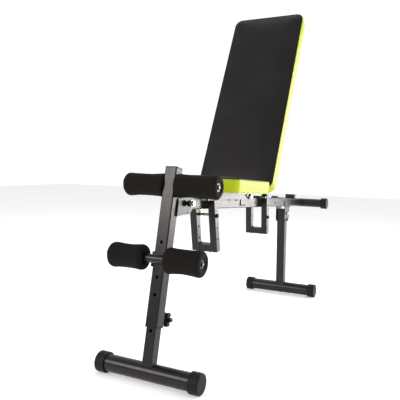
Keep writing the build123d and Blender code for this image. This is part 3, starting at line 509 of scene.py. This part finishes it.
class PathPattern:
    """Geometry Nodes tree that repeats a bead along a path or sweeps a cord along it."""

    def __init__(self) -> None:
        """Build both trees."""
        self.beads = {shape: self._bead_tree(shape) for shape in Bead}
        self.cord = self._cord_tree()

    @staticmethod
    def _start(name: str) -> bpy.types.NodeTree:
        """Start a tree with its common sockets.

        Args:
            name: The tree's name.

        Returns:
            The tree.
        """
        tree = bpy.data.node_groups.new(name, "GeometryNodeTree")
        face = tree.interface
        face.new_socket("Geometry", in_out="INPUT", socket_type="NodeSocketGeometry")
        face.new_socket("Pitch", in_out="INPUT", socket_type="NodeSocketFloat")
        face.new_socket("Size", in_out="INPUT", socket_type="NodeSocketVector")
        face.new_socket("Finish", in_out="INPUT", socket_type="NodeSocketMaterial")
        face.new_socket("Geometry", in_out="OUTPUT", socket_type="NodeSocketGeometry")
        return tree

    def _bead_tree(self, shape: Bead) -> bpy.types.NodeTree:
        """Build the tree that repeats one bead along a path.

        Args:
            shape: The bead's shape.

        Returns:
            The tree.
        """
        tree = self._start(f"{shape.value}_beads")
        new, join = tree.nodes.new, tree.links.new
        entry, leave = new("NodeGroupInput"), new("NodeGroupOutput")
        curve, again = new("GeometryNodeMeshToCurve"), new("GeometryNodeResampleCurve")
        again.mode = "LENGTH"
        if shape is Bead.ROUND:
            bead = new("GeometryNodeMeshIcoSphere")
            bead.inputs["Radius"].default_value = 1.0
            bead.inputs["Subdivisions"].default_value = 2
        else:
            bead = new("GeometryNodeMeshCube")
            bead.inputs["Size"].default_value = (1.0, 1.0, 1.0)
        tangent, turn = new("GeometryNodeInputTangent"), new("FunctionNodeAlignRotationToVector")
        turn.axis = "X"
        place, real = new("GeometryNodeInstanceOnPoints"), new("GeometryNodeRealizeInstances")
        smooth, dress = new("GeometryNodeSetShadeSmooth"), new("GeometryNodeSetMaterial")
        smooth.inputs["Shade Smooth"].default_value = shape is Bead.ROUND
        join(entry.outputs["Geometry"], curve.inputs["Mesh"])
        join(curve.outputs["Curve"], again.inputs["Curve"])
        join(entry.outputs["Pitch"], again.inputs["Length"])
        join(again.outputs["Curve"], place.inputs["Points"])
        join(bead.outputs["Mesh"], place.inputs["Instance"])
        join(tangent.outputs["Tangent"], turn.inputs["Vector"])
        join(turn.outputs["Rotation"], place.inputs["Rotation"])
        join(entry.outputs["Size"], place.inputs["Scale"])
        join(place.outputs["Instances"], real.inputs["Geometry"])
        join(real.outputs["Geometry"], smooth.inputs["Geometry"])
        join(smooth.outputs["Geometry"], dress.inputs["Geometry"])
        join(entry.outputs["Finish"], dress.inputs["Material"])
        join(dress.outputs["Geometry"], leave.inputs["Geometry"])
        return tree

    def _cord_tree(self) -> bpy.types.NodeTree:
        """Build the tree that sweeps a round cord along a path.

        Returns:
            The tree.
        """
        tree = self._start("swept_cord")
        new, join = tree.nodes.new, tree.links.new
        entry, leave = new("NodeGroupInput"), new("NodeGroupOutput")
        curve, again = new("GeometryNodeMeshToCurve"), new("GeometryNodeResampleCurve")
        again.mode = "LENGTH"
        ring, sweep = new("GeometryNodeCurvePrimitiveCircle"), new("GeometryNodeCurveToMesh")
        ring.inputs["Resolution"].default_value = 10
        split = new("ShaderNodeSeparateXYZ")
        real, dress = new("GeometryNodeRealizeInstances"), new("GeometryNodeSetMaterial")
        smooth = new("GeometryNodeSetShadeSmooth")
        join(entry.outputs["Geometry"], curve.inputs["Mesh"])
        join(curve.outputs["Curve"], again.inputs["Curve"])
        join(entry.outputs["Pitch"], again.inputs["Length"])
        join(again.outputs["Curve"], sweep.inputs["Curve"])
        join(entry.outputs["Size"], split.inputs["Vector"])
        join(split.outputs["X"], ring.inputs["Radius"])
        join(ring.outputs["Curve"], sweep.inputs["Profile Curve"])
        join(sweep.outputs["Mesh"], real.inputs["Geometry"])
        join(real.outputs["Geometry"], smooth.inputs["Geometry"])
        join(smooth.outputs["Geometry"], dress.inputs["Geometry"])
        join(entry.outputs["Finish"], dress.inputs["Material"])
        join(dress.outputs["Geometry"], leave.inputs["Geometry"])
        return tree

    def run(self, name: str, paths: list[tuple[list[Vector], bool]], tree: bpy.types.NodeTree,
            pitch: float, size: tuple[float, float, float],
            finish: bpy.types.Material) -> bpy.types.Object:
        """Run a tree over paths and bake the result.

        Args:
            name: The piece's name.
            paths: Point lists, each with whether it closes on itself.
            tree: The tree to run.
            pitch: Spacing along the path.
            size: Bead size, or the cord's radius as its first value.
            finish: The material.

        Returns:
            A plain mesh object.
        """
        verts: list[Vector] = []
        edges: list[tuple[int, int]] = []
        for points, closed in paths:
            first = len(verts)
            verts.extend(points)
            edges.extend((first + i, first + i + 1) for i in range(len(points) - 1))
            if closed:
                edges.append((first + len(points) - 1, first))
        wire = bpy.data.meshes.new(name + "_path")
        wire.from_pydata([tuple(v) for v in verts], edges, [])
        carrier = bpy.data.objects.new(name + "_path", wire)
        bpy.context.scene.collection.objects.link(carrier)
        modifier = carrier.modifiers.new("pattern", "NODES")
        modifier.node_group = tree
        for item in tree.interface.items_tree:
            if item.in_out == "INPUT" and item.name in ("Pitch", "Size", "Finish"):
                modifier[item.identifier] = {"Pitch": pitch, "Size": size, "Finish": finish}[item.name]
        depsgraph = bpy.context.evaluated_depsgraph_get()
        mesh = bpy.data.meshes.new_from_object(carrier.evaluated_get(depsgraph))
        mesh.name = name
        bpy.data.objects.remove(carrier)
        piece = bpy.data.objects.new(name, mesh)
        bpy.context.scene.collection.objects.link(piece)
        return piece


# ---- upholstery ----
@dataclass
class Pad:
    """One upholstered pad: black crowned top, lime boxing turned under its board, welt and stitches."""

    name: str
    body: str
    nodes: tuple[str, ...]
    origin: Vector
    along: Vector
    normal: Vector
    width: float
    length: float
    radius: float
    thickness: float
    board: float = 0.012
    lip: float = 0.0036
    crown: float = 0.006
    pressure: float = 4.0
    cap: float = 0.006
    hem: float = 0.022
    cell: float = 0.0085

    def _lines(self, half: float) -> np.ndarray:
        """Grid lines across one side, closer together at the edges.

        Args:
            half: Half the side.

        Returns:
            Positions from -half to half.
        """
        near = np.array([0.0, 0.0015, 0.004, 0.008, 0.013, 0.020, 0.028])
        core = half - near[-1]
        count = max(2, int(round(2 * core / self.cell)))
        inner = np.linspace(-core, core, count + 1)
        return np.concatenate([-half + near[:-1], inner, (half - near[:-1])[::-1]])

    def _plan(self, x: float, y: float, inset: float = 0.0) -> tuple[float, float]:
        """Round a point of the square plan into the pad's rounded corners.

        Args:
            x: Position across.
            y: Position along.
            inset: How far the outline is drawn in.

        Returns:
            The moved point.
        """
        half_w, half_l = self.width / 2, self.length / 2
        x, y = x * (half_w - inset) / half_w, y * (half_l - inset) / half_l
        reach = max(self.radius - inset, 0.004)
        dx, dy = abs(x) - (half_w - inset - reach), abs(y) - (half_l - inset - reach)
        if dx > 0 and dy > 0:
            keep = max(dx, dy) / math.hypot(dx, dy)
            x = math.copysign(half_w - inset - reach + dx * keep, x)
            y = math.copysign(half_l - inset - reach + dy * keep, y)
        return x, y

    def _world(self, x: float, y: float, h: float) -> Vector:
        """Turn a pad position into the bench's frame."""
        return self.origin + Vector((x, 0, 0)) + self.along * y + self.normal * h

    def _edge(self, nx: int, ny: int) -> list[tuple[int, int]]:
        """Grid places round the outline, in order.

        Args:
            nx: Places across.
            ny: Places along.

        Returns:
            Index pairs.
        """
        ring = [(i, 0) for i in range(nx - 1)] + [(nx - 1, j) for j in range(ny - 1)]
        ring += [(i, ny - 1) for i in range(nx - 1, 0, -1)] + [(0, j) for j in range(ny - 1, 0, -1)]
        return ring

    def build(self, finishes: Finishes, pattern: PathPattern) -> list[bpy.types.Object]:
        """Build the cover and what is sewn and stapled on it.

        Args:
            finishes: The finishes.
            pattern: The path patterns.

        Returns:
            The pieces.
        """
        xs, ys = self._lines(self.width / 2), self._lines(self.length / 2)
        nx, ny = len(xs), len(ys)
        seam = self.thickness - self.lip
        flat: list[tuple[float, float, float]] = []
        for y in ys:
            for x in xs:
                d = min(self.width / 2 - abs(x), self.length / 2 - abs(y))
                rise = self.lip * (1 - math.exp(-d / 0.0045))
                dome = (1 - (2 * x / self.width) ** 2) * (1 - (2 * y / self.length) ** 4)
                px, py = self._plan(x, y, 0.002)
                flat.append((px, py, seam + rise + self.crown * dome))
        faces = [(j * nx + i, j * nx + i + 1, (j + 1) * nx + i + 1, (j + 1) * nx + i)
                 for j in range(ny - 1) for i in range(nx - 1)]
        tops = len(faces)
        ring = self._edge(nx, ny)
        loop = [j * nx + i for i, j in ring]
        seam_loop = list(loop)
        rows = [(seam - 0.0025, 0.0012), (seam * 0.82, 0.0004), (seam * 0.66, 0.0), (seam * 0.5, 0.0),
                (self.board + 0.004, 0.0006), (self.board, 0.0014), (self.board * 0.5, 0.0016),
                (0.0012, 0.0018), (-0.0006, 0.0036), (-0.0007, 0.009), (-0.0007, self.hem),
                (0.003, self.hem + 0.0004)]
        for height, inset in rows:
            first = len(flat)
            for i, j in ring:
                px, py = self._plan(xs[i], ys[j], inset)
                flat.append((px, py, height))
            fresh = list(range(first, first + len(ring)))
            faces += [(loop[k], loop[(k + 1) % len(ring)], fresh[(k + 1) % len(ring)], fresh[k])
                      for k in range(len(ring))]
            loop = fresh
        sides = len(faces)
        faces.append(tuple(loop))
        verts = [self._world(*p) for p in flat]
        cover = add_piece(self.name + "_cover", verts, faces, [finishes.black, finishes.lime, finishes.liner])
        for polygon in cover.data.polygons:
            polygon.material_index = 0 if polygon.index < tops else (1 if polygon.index < sides else 2)
        held = [i for i, p in enumerate(flat) if p[2] <= self.board + 0.0005]
        self._inflate(cover, held + seam_loop)
        self._pucker(cover, flat)
        smooth = cover.modifiers.new("smooth", "SUBSURF")
        smooth.levels = smooth.render_levels = 1
        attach(cover, self.body)
        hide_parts(*self.nodes)
        return [cover] + self._trim(cover, flat, ring, seam_loop, finishes, pattern, xs, ys)

    def _inflate(self, cover: bpy.types.Object, held: list[int]) -> None:
        """Swell the cover by cloth simulation and keep its seams and board edge.

        Args:
            cover: The cover.
            held: Corners that the board and the seams hold.
        """
        scene = bpy.context.scene
        count = len(cover.data.vertices)
        before = np.empty(count * 3)
        cover.data.vertices.foreach_get("co", before)
        group = cover.vertex_groups.new(name="held")
        group.add(held, 1.0, "REPLACE")
        cloth = cover.modifiers.new("swell", "CLOTH")
        rule = cloth.settings
        rule.quality, rule.mass = 6, 0.35
        rule.tension_stiffness = rule.compression_stiffness = 30.0
        rule.shear_stiffness, rule.bending_stiffness = 15.0, 4.0
        rule.use_pressure, rule.uniform_pressure_force = True, self.pressure
        rule.vertex_group_mass = "held"
        rule.effector_weights.gravity = 0.0
        cloth.collision_settings.use_collision = False
        cloth.point_cache.frame_start, cloth.point_cache.frame_end = 1, 20
        for step in range(1, 21):
            scene.frame_set(step)
        swollen = bpy.data.meshes.new_from_object(cover.evaluated_get(bpy.context.evaluated_depsgraph_get()))
        after = np.empty(count * 3)
        swollen.vertices.foreach_get("co", after)
        bpy.data.meshes.remove(swollen)
        move = (after - before).reshape(-1, 3)
        reach = np.linalg.norm(move, axis=1, keepdims=True)
        move *= np.minimum(1.0, self.cap / np.maximum(reach, 1e-9))
        LOG.info("%s swells by up to %.1f mm", self.name, 1000 * float(np.minimum(reach, self.cap).max()))
        cover.modifiers.remove(cloth)
        cover.vertex_groups.remove(group)
        scene.frame_set(1)
        cover.data.vertices.foreach_set("co", before + move.reshape(-1))
        cover.data.update()

    def _pucker(self, cover: bpy.types.Object, flat: list[tuple[float, float, float]]) -> None:
        """Draw small puckers into the cover where the boxing turns the corners and meets the seam.

        Args:
            cover: The cover.
            flat: Pad positions before the swelling.
        """
        seam = self.thickness - self.lip
        half_w, half_l = self.width / 2, self.length / 2
        for vertex, (x, y, h) in zip(cover.data.vertices, flat):
            if self.board < h < seam:
                corner = math.exp(-((half_w - abs(x)) + (half_l - abs(y))) / 0.05)
                wave = math.sin((x + y) * 430.0) * math.sin(math.pi * (h - self.board) / (seam - self.board))
                out = Vector((math.copysign(1, x) if half_w - abs(x) < half_l - abs(y) else 0, 0, 0))
                if out.length == 0:
                    out = self.along * math.copysign(1, y)
                vertex.co += out * (0.00012 + 0.0006 * corner) * wave

    def _trim(self, cover: bpy.types.Object, flat: list[tuple[float, float, float]],
              ring: list[tuple[int, int]], seam_loop: list[int], finishes: Finishes,
              pattern: PathPattern, xs: np.ndarray, ys: np.ndarray) -> list[bpy.types.Object]:
        """Add the welt, the stitches and the staples.

        Args:
            cover: The finished cover.
            flat: Pad positions before the swelling; not used.
            ring: Grid places round the outline.
            seam_loop: The cover's corners along the top seam.
            finishes: The finishes.
            pattern: The path patterns.
            xs: Grid lines across.
            ys: Grid lines along.

        Returns:
            The pieces.
        """
        welt_path = [cover.data.vertices[i].co.copy() for i in seam_loop]
        middle = self.origin + self.normal * self.thickness
        out = [(p - middle - self.normal * (p - middle).dot(self.normal)).normalized() for p in welt_path]
        welt_path = [p + o * 0.0003 - self.normal * 0.0004 for p, o in zip(welt_path, out)]
        welt = pattern.run(self.name + "_welt", [(welt_path, True)], pattern.cord, 0.004,
                           (0.0014, 0.0, 0.0), finishes.black)
        sewn = []
        staple = []
        for i, j in ring:
            px, py = self._plan(xs[i], ys[j], 0.0002)
            sewn.append(self._world(px, py, self.thickness - self.lip - 0.0052))
            qx, qy = self._plan(xs[i], ys[j], self.hem - 0.006)
            staple.append(self._world(qx, qy, -0.0011))
        stitches = pattern.run(self.name + "_stitches", [(sewn, True)], pattern.beads[Bead.ROUND], 0.0052,
                               (0.0017, 0.00045, 0.00045), finishes.thread)
        staples = pattern.run(self.name + "_staples", [(staple, True)], pattern.beads[Bead.BAR], 0.026,
                              (0.0095, 0.0011, 0.0007), finishes.bright)
        for piece, slot in ((welt, Slot.VINYL), (stitches, Slot.VINYL), (staples, Slot.BRIGHT)):
            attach(piece, self.body)
        return [welt, stitches, staples]


@dataclass
class Roller:
    """One foam roller sleeve, waisted, with soft ends and a recessed bore."""

    node: str
    start: float
    end: float
    radius: float
    centre: Vector
    bore: float = 0.01265
    waist: float = 0.0027
    round_in: float = 0.006
    round_out: float = 0.011
    turns: int = 72

    def _profile(self) -> list[tuple[float, float]]:
        """Give the sleeve's section as position and radius, from bore to bore.

        Returns:
            The points in order.
        """
        low, high = self.start, self.end
        points = [(low + 0.004, self.bore), (low + 0.0012, self.bore + 0.0012), (low, self.bore + 0.004)]
        flat_in = self.radius - self.round_in
        points += [(low - 0.0, self.bore + 0.011), (low, flat_in - 0.004)]
        points += [(low + self.round_in * (1 - math.cos(a)), flat_in + self.round_in * math.sin(a))
                   for a in np.linspace(0.15, math.pi / 2, 7)]
        run = np.linspace(low + self.round_in + 0.004, high - self.round_out - 0.003, 18)
        for x in run:
            k = (x - run[0]) / (run[-1] - run[0])
            points.append((x, self.radius - self.waist * math.sin(math.pi * k) ** 0.8
                           + 0.00025 * math.sin(37.0 * k)))
        flat_out = self.radius - self.round_out
        points += [(high - self.round_out * (1 - math.sin(a)), flat_out + self.round_out * math.cos(a))
                   for a in np.linspace(0.0, math.pi / 2 - 0.1, 9)]
        points += [(high, flat_out - 0.003), (high - 0.0003, self.bore + 0.0075),
                   (high - 0.0012, self.bore + 0.0035), (high - 0.0035, self.bore + 0.001),
                   (high - 0.006, self.bore)]
        return points

    def build(self, finishes: Finishes) -> bpy.types.Object:
        """Build the sleeve.

        Args:
            finishes: The finishes.

        Returns:
            The piece.
        """
        profile = self._profile()
        verts, faces = [], []
        rows = len(profile)
        for k in range(self.turns):
            angle = 2 * math.pi * k / self.turns
            for x, r in profile:
                soft = r + (0.0004 * math.sin(3 * angle + 41 * x) + 0.0003 * math.sin(7 * angle - 90 * x)
                            if r > self.bore + 0.006 else 0.0)
                verts.append(self.centre + Vector((x, soft * math.cos(angle), soft * math.sin(angle))))
        for k in range(self.turns):
            after = (k + 1) % self.turns
            for i in range(rows):
                up = (i + 1) % rows
                faces.append((k * rows + i, k * rows + up, after * rows + up, after * rows + i))
        sleeve = add_piece(self.node + "_sleeve", verts, faces, [finishes.foam])
        smooth = sleeve.modifiers.new("smooth", "SUBSURF")
        smooth.levels = smooth.render_levels = 1
        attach(sleeve, self.node)
        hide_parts(self.node)
        return sleeve


# ---- metalwork ----
@dataclass
class Welds:
    """Rippled weld beads at the frame's joints."""

    at: Stations
    pitch: float = 0.0021
    size: tuple[float, float, float] = (0.0019, 0.0021, 0.0021)
    tube_side: float = 0.0222
    rail_sides: tuple[float, float] = (0.0223, 0.0467)
    plate_side: float = 0.0472

    def _square_on_round(self, place: Callable[[float, float, float], Vector], half: float,
                         radius: float) -> list[Vector]:
        """Line where a square tube stands on a round one.

        Args:
            place: Station function taking height, offset and x.
            half: Half the square tube's side.
            radius: The round tube's radius.

        Returns:
            The closed path.
        """
        corners = [(-1, -1), (1, -1), (1, 1), (-1, 1)]
        path = []
        for k in range(4):
            (ax, ar), (bx, br) = corners[k], corners[(k + 1) % 4]
            for f in np.linspace(0, 1, 9)[:-1]:
                x, r = (ax + (bx - ax) * f) * half, (ar + (br - ar) * f) * half
                path.append(place(math.sqrt(max(radius ** 2 - r ** 2, 0.0)) + 0.0005, r, x))
        return path

    def build(self, finishes: Finishes, pattern: PathPattern) -> list[bpy.types.Object]:
        """Build the beads of each body.

        Args:
            finishes: The finishes.
            pattern: The path patterns.

        Returns:
            The pieces.
        """
        at = self.at
        joints: dict[str, list[tuple[list[Vector], bool]]] = {
            "front_leg": [(self._square_on_round(at.post, 0.0162, 0.025), True)],
            "rear_leg": [(self._square_on_round(at.rear, 0.0190, 0.025), True)],
            "frame": [(self._square_on_round(
                lambda h, n, x: at.beam(1.446 - h, n - 0.002, x), 0.0190, 0.021), True)],
            "front_post": [], "seat": [], "prop": [], "back": []}
        for side in (-1, 1):
            x = side * self.tube_side
            joints["frame"] += [([at.beam(1.145, -0.0192, x), at.beam(1.212, -0.0192, x)], False),
                                ([at.beam(0.596, -0.0088, x), at.beam(0.634, -0.0088, x)], False)]
            joints["front_post"] += [([at.post(0.445, 0.0105, x), at.post(0.490, 0.0105, x)], False)]
            for y, tilt, top, low, body in ((0.3372, math.radians(10), 0.0515, 0.0765, "seat"),
                                            (0.829, math.radians(3.9), 0.0445, 0.0695, "prop")):
                for (t0, r0), (t1, r1) in (((top, -0.0122), (low, -0.0122)), ((top, 0.0122), (low, 0.0122)),
                                           ((top, -0.012), (top, 0.012))):
                    joints[body].append(([at.drop(y, tilt, t0, r0, x), at.drop(y, tilt, t1, r1, x)], False))
            for rail in self.rail_sides:
                joints["seat"].append(([at.beam(0.308, 0.0132, side * rail),
                                        at.beam(0.334, 0.0132, side * rail)], False))
            plate = side * self.plate_side
            joints["back"].append(([at.back(0.034, -0.0172, plate), at.back(0.058, -0.0172, plate)], False))
        made = []
        for body, paths in joints.items():
            bead = pattern.run(body + "_welds", paths, pattern.beads[Bead.ROUND], self.pitch, self.size,
                               finishes.weld)
            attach(bead, body)
            made.append(bead)
        return made


@dataclass
class CadDress:
    """Gives every node of the frame its finish."""

    frame: dict

    def apply(self, finishes: Finishes) -> None:
        """Set the finish of each node by its record slot.

        Args:
            finishes: The finishes.
        """
        slots = {entry["node"]: entry["material_slot"] for entry in self.frame["record"]["subparts"]}
        ends = {name: BoltEnd(name + "_finish", tuple((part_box(name)[0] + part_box(name)[1]) / 2)).make()
                for name in ("upper_end_bolts", "lower_end_bolts")}
        for name, node in self.frame["nodes"].items():
            material = ends.get(name) or finishes.of_slot(Slot(slots[name]))
            if not node.data.materials:
                node.data.materials.append(material)
            for index in range(len(node.data.materials)):
                node.data.materials[index] = material


# ---- studio ----
@dataclass
class Studio:
    """Pale floor, soft boxes and the camera."""

    camera_at: tuple[float, float, float] = (0.7513, -1.8962, 0.6137)
    yaw: float = math.radians(27.04)
    pitch: float = math.radians(4.0)
    roll: float = math.radians(1.24)
    lens: float = 45.71

    def _box_light(self, name: str, at: tuple[float, float, float], aim: tuple[float, float, float],
                   size: tuple[float, float], watts: float,
                   colour: tuple[float, float, float] = (1.0, 1.0, 1.0)) -> None:
        """Hang one soft box.

        Args:
            name: Its name.
            at: Where it hangs.
            aim: What it faces.
            size: Its width and height.
            watts: Its power.
            colour: Its colour.
        """
        data = bpy.data.lights.new(name, "AREA")
        data.shape, data.size, data.size_y, data.energy = "RECTANGLE", size[0], size[1], watts
        data.color = colour
        lamp = bpy.data.objects.new(name, data)
        lamp.location = at
        lamp.rotation_mode = "QUATERNION"
        lamp.rotation_quaternion = (Vector(aim) - Vector(at)).to_track_quat("-Z", "Y")
        bpy.context.scene.collection.objects.link(lamp)

    def _floor(self) -> None:
        """Lay the pale floor."""
        half = 9.0
        floor = add_piece("floor", [(-half, -half, 0), (half, -half, 0), (half, half, 0), (-half, half, 0)],
                          [(0, 1, 2, 3)], [], False)
        s = Shade("pale_floor")
        s.link(s.ramp(s.noise(0.8, 2.0), 0.3, 0.7, (0.90, 0.90, 0.90), (0.93, 0.93, 0.93)),
               s.bsdf.inputs["Base Color"])
        floor.data.materials.append(s.done(Roughness=0.9, Specular_IOR_Level=0.1,
                                           Emission_Color=(1.0, 1.0, 1.0, 1.0), Emission_Strength=0.30))

    def _world(self) -> None:
        """Set the surround: white behind the bench, dimmer on the camera's side, seen as white."""
        world = bpy.data.worlds.new("surround")
        world.use_nodes = True
        tree = world.node_tree
        ground = tree.nodes["Background"]
        ground.inputs["Color"].default_value = (1.0, 1.0, 1.0, 1.0)
        view = tree.nodes.new("ShaderNodeTexCoord")
        split, level = tree.nodes.new("ShaderNodeSeparateXYZ"), tree.nodes.new("ShaderNodeMapRange")
        for key, value in (("From Min", -0.55), ("From Max", 0.45), ("To Min", 0.32), ("To Max", 0.9)):
            level.inputs[key].default_value = value
        tree.links.new(view.outputs["Generated"], split.inputs["Vector"])
        tree.links.new(split.outputs["Y"], level.inputs["Value"])
        tree.links.new(level.outputs["Result"], ground.inputs["Strength"])
        seen = tree.nodes.new("ShaderNodeBackground")
        seen.inputs["Color"].default_value = (1.0, 1.0, 1.0, 1.0)
        seen.inputs["Strength"].default_value = 1.05
        path, mix = tree.nodes.new("ShaderNodeLightPath"), tree.nodes.new("ShaderNodeMixShader")
        tree.links.new(path.outputs["Is Camera Ray"], mix.inputs["Fac"])
        tree.links.new(ground.outputs["Background"], mix.inputs[1])
        tree.links.new(seen.outputs["Background"], mix.inputs[2])
        tree.links.new(mix.outputs["Shader"], tree.nodes["World Output"].inputs["Surface"])
        bpy.context.scene.world = world

    def _camera(self) -> None:
        """Place the camera."""
        y, p, r = self.yaw, self.pitch, self.roll
        look = Vector((-math.sin(y) * math.cos(p), math.cos(y) * math.cos(p), -math.sin(p)))
        right = Vector((math.cos(y), math.sin(y), 0.0))
        up = right.cross(look)
        turned = right * math.cos(r) + up * math.sin(r)
        top = up * math.cos(r) - right * math.sin(r)
        data = bpy.data.cameras.new("camera")
        data.lens, data.sensor_width = self.lens, 36.0
        data.clip_start, data.clip_end = 0.05, 60.0
        camera = bpy.data.objects.new("camera", data)
        camera.matrix_world = Matrix((
            (turned.x, top.x, -look.x, self.camera_at[0]), (turned.y, top.y, -look.y, self.camera_at[1]),
            (turned.z, top.z, -look.z, self.camera_at[2]), (0, 0, 0, 1)))
        bpy.context.scene.collection.objects.link(camera)
        bpy.context.scene.camera = camera

    def build(self) -> None:
        """Set up floor, light and camera."""
        self._floor()
        self._world()
        self._camera()
        self._box_light("side_box", (1.16, 1.95, 0.78), (0.0, -0.3, 0.5), (0.80, 1.4), 37.0,
                        (1.0, 0.968, 0.94))
        self._box_light("front_left_box", (-1.75, -3.3, 2.0), (0.0, -0.6, 0.5), (1.3, 1.4), 62.0,
                        (1.0, 0.93, 0.91))
        self._box_light("key_box", (2.8, -1.2, 2.0), (0.0, 0.0, 0.6), (1.3, 1.3), 28.0)
        self._box_light("top_box", (-0.2, 1.4, 3.6), (0.0, 0.5, 0.0), (2.6, 1.8), 28.0)
        bpy.context.scene.view_settings.view_transform = "Standard"


def main() -> None:
    """Build the bench's looks on its frame."""
    logging.basicConfig(level=logging.INFO, format="%(message)s")
    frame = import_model()
    finishes, pattern, at = Finishes(), PathPattern(), Stations()
    CadDress(frame).apply(finishes)
    pads = [
        Pad("seat", "seat", ("seat_cushion",), at.beam(0.4025, 0.0385),
            Vector((0, math.cos(at.slope), -math.sin(at.slope))),
            Vector((0, math.sin(at.slope), math.cos(at.slope))), 0.300, 0.301, 0.018, 0.046,
            crown=0.003, cap=0.005),
        Pad("back", "back", ("back_cushion",), at.back(0.402, 0.008),
            Vector((0, math.sin(at.recline), math.cos(at.recline))),
            Vector((0, -math.cos(at.recline), math.sin(at.recline))), 0.298, 0.780, 0.030, 0.052,
            crown=0.003, cap=0.005)]
    for pad in pads:
        for piece in pad.build(finishes, pattern):
            LOG.info("made %s", piece.name)
    upper, lower = at.post(0.533, 0.0), at.post(0.3155, -0.03605)
    rollers = [Roller("upper_foam_right", 0.01985, 0.155, 0.035, upper),
               Roller("lower_foam_right", 0.036, 0.150, 0.037, lower, round_in=0.011)]
    for right in list(rollers):
        rollers.append(Roller(right.node.replace("right", "left"), -right.end, -right.start, right.radius,
                              right.centre, round_in=right.round_out, round_out=right.round_in))
    for roller in rollers:
        LOG.info("made %s", roller.build(finishes).name)
    for piece in Welds(at).build(finishes, pattern):
        LOG.info("made %s", piece.name)
    Studio().build()


if __name__ == "__main__":
    main()
